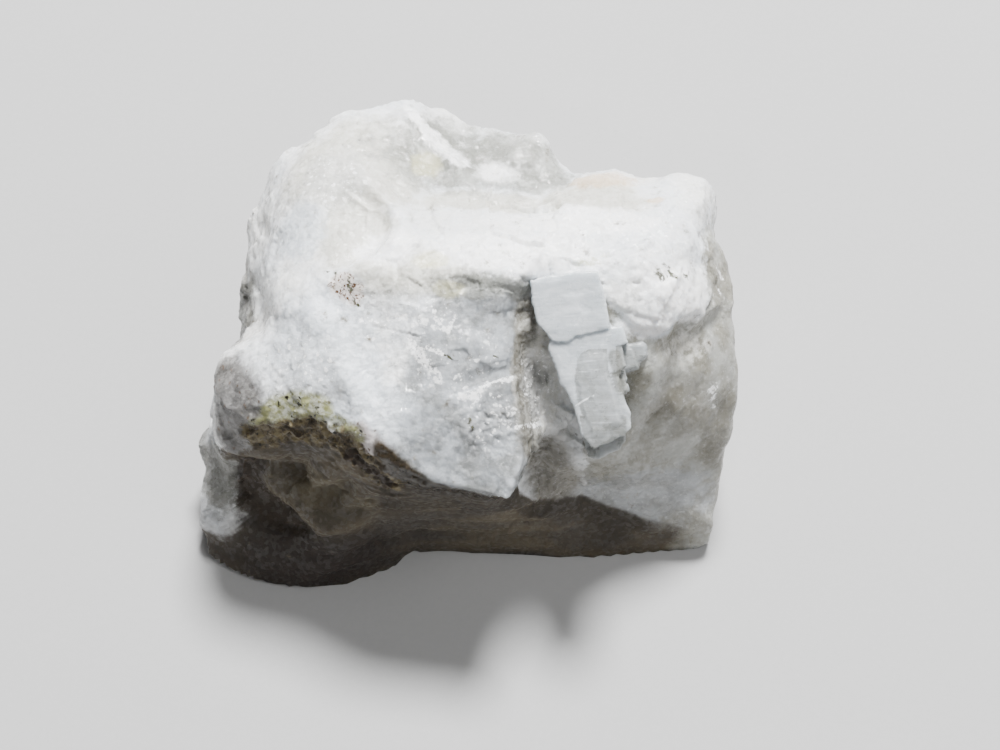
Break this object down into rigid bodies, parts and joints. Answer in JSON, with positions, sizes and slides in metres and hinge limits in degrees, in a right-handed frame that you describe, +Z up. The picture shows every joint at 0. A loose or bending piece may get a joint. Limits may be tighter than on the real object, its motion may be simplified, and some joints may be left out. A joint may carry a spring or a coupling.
{
  "type": "fluorite on albite specimen",
  "caption": "Broken hand specimen of white albite with clear to milky fluorite set in its front: a cleaved stepped block, a glassy tongue and a cloudy side mass.",
  "frame": {"origin": "centre of the specimen's box, on the flat it rests on", "axes": "+X along the specimen's longest side, to its cloudy fluorite end; +Y from the broken front, with the dirt lip and overhanging crest, to the plain back; +Z up from the flat cut"},
  "size_m": [0.0542, 0.0406, 0.034],
  "materials": {
    "albite": "sugary broken stone, white with tan, olive and brown dirt",
    "fluorite_milky": "milky cleavage faces, finely striated",
    "fluorite_glassy": "glassy fracture with bright cleavage steps",
    "fluorite_cloudy": "cloudy grey-olive, translucent"
  },
  "bodies": {
    "root": {"albite_matrix": "albite", "fluorite_block": "fluorite_milky", "fluorite_tongue": "fluorite_glassy", "fluorite_side": "fluorite_cloudy"}
  },
  "joints": []
}
